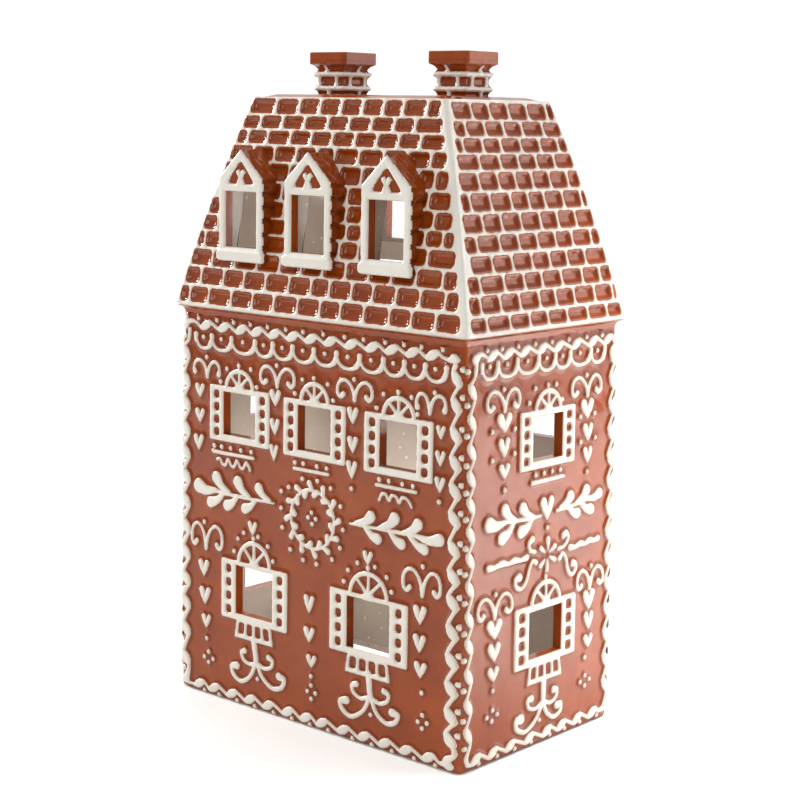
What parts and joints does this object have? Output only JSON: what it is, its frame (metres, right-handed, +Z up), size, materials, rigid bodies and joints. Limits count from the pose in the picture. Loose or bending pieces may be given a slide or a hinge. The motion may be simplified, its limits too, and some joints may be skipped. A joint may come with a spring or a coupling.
{
  "type": "ceramic gingerbread house lantern",
  "caption": "Hollow glazed ceramic town house in the form of an iced gingerbread house, with cut-through windows, dormers, chimneys and raised white icing.",
  "frame": {"origin": "middle of the foot, on the plane the house stands on", "axes": "+Z up, +X to the right along the wide front, and the front faces -Y"},
  "size_m": [0.2084, 0.133, 0.3558],
  "materials": {
    "terracotta_glaze": "gloss brown glaze, darker where it pools",
    "white_glaze": "gloss off-white glaze on the raised icing",
    "pale_inner_glaze": "gloss pale grey-beige glaze on the inside"
  },
  "bodies": {
    "root": {"house": "terracotta_glaze"}
  },
  "joints": []
}
